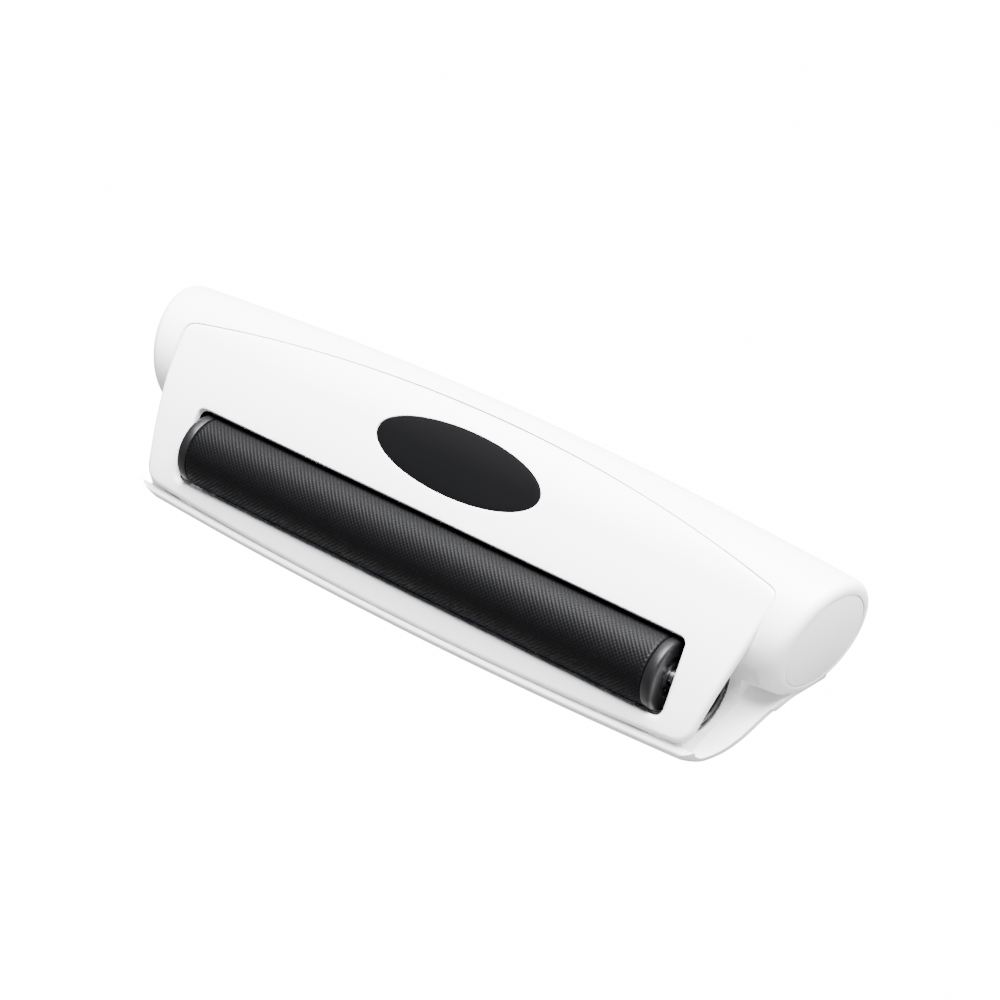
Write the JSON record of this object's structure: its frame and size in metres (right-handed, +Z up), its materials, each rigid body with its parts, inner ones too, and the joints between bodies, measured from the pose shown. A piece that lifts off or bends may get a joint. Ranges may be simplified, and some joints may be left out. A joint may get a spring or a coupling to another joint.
{
  "type": "lint roller",
  "caption": "Hand-held lint roller: knurled rubber roller in a slotted lift-off cover with an oval push button, over a round barrel that collects the lint.",
  "frame": {"origin": "centre of the footprint, on the surface it rests on", "axes": "+X along the roller to its right end, +Y from the nose to the barrel, +Z up, resting on the barrel and the heel of the tray"},
  "size_m": [0.1792, 0.0518, 0.0289],
  "materials": {
    "white_abs": "satin moulded ABS",
    "black_abs": "satin moulded ABS",
    "matt_black": "soft matt moulding",
    "black_rubber": "moulded rubber with a fine diamond knurl",
    "grey_acetal": "natural moulded acetal",
    "bright_steel": "ground steel"
  },
  "bodies": {
    "housing": {"lower_housing": "white_abs", "end_cap_left": "white_abs", "end_cap_right": "white_abs", "bearing_block_left": "black_abs", "bearing_block_right": "black_abs", "stripper_comb": "grey_acetal"},
    "roller": {"roller_sleeve": "black_rubber", "roller_core": "grey_acetal", "roller_end_cap_left": "black_abs", "roller_end_cap_right": "black_abs", "roller_axle": "bright_steel"},
    "cover": {"top_cover": "white_abs", "latch_guide": "grey_acetal", "guide_screw_left": "bright_steel", "guide_screw_right": "bright_steel", "latch_spring": "bright_steel"},
    "button": {"oval_button": "matt_black"},
    "latch": {"latch_bar": "grey_acetal"}
  },
  "joints": [
    {"name": "roller_spin", "type": "hinge", "parent": "housing", "child": "roller", "pos_m": [0, -0.0127, 0.01326], "axis": [1, 0, 0], "continuous": true},
    {"name": "cover_lift", "type": "slide", "parent": "housing", "child": "cover", "axis": [0, -0.4033, 0.9151], "range_m": [0, 0.04]},
    {"name": "button_press", "type": "slide", "parent": "cover", "child": "button", "axis": [0, 0.4033, -0.9151], "range_m": [0, 0.0012], "stiffness_N_per_m": 800},
    {"name": "latch_slide", "type": "slide", "parent": "cover", "child": "latch", "axis": [0, -0.9151, -0.4033], "range_m": [0, 0.0012], "deforming": ["latch_spring"]}
  ],
  "couplings": [
    {"joint": "latch_slide", "follows": "button_press", "ratio": 1}
  ]
}
